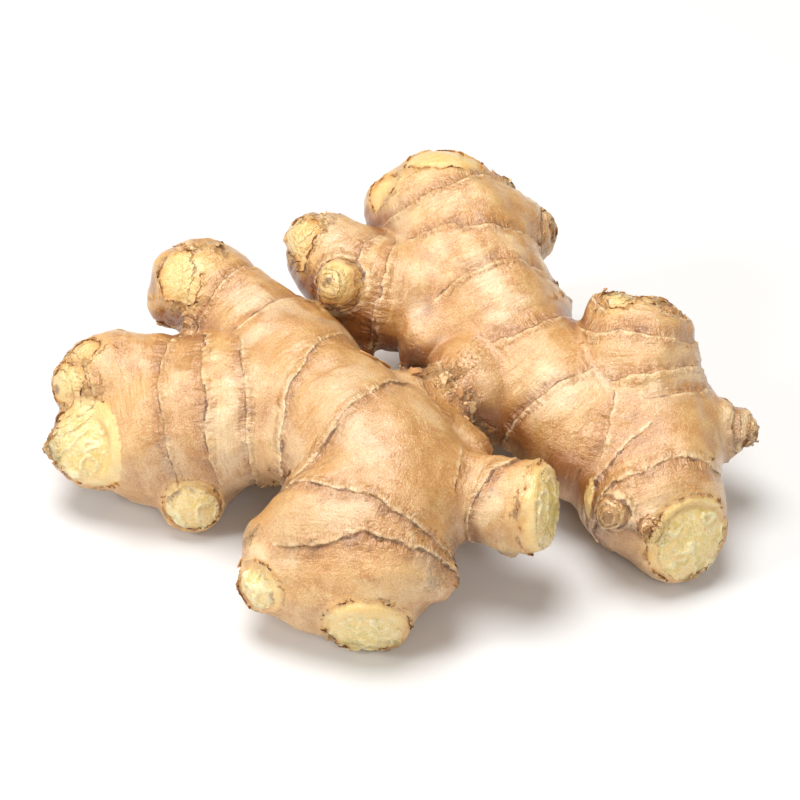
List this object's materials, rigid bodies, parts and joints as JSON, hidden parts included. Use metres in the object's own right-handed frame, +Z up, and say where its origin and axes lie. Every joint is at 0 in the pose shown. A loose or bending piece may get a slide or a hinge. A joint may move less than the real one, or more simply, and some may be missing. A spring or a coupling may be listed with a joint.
{
  "type": "ginger root",
  "caption": "Knobbly branching fresh ginger rhizome with thick rounded fingers, ringed papery skin and pale broken ends, lying flat on its feet.",
  "frame": {"origin": "middle of the root's footprint box, on the table plane it rests on", "axes": "+X along the root's long way, to the small bud at its right; +Y to the back, where the long finger points; +Z up from the table"},
  "size_m": [0.1669, 0.1338, 0.057],
  "materials": {
    "ginger_skin": "thin corky tan skin with a soft sheen over pale yellow flesh"
  },
  "bodies": {
    "root": {"ginger_root": "ginger_skin"}
  },
  "joints": []
}
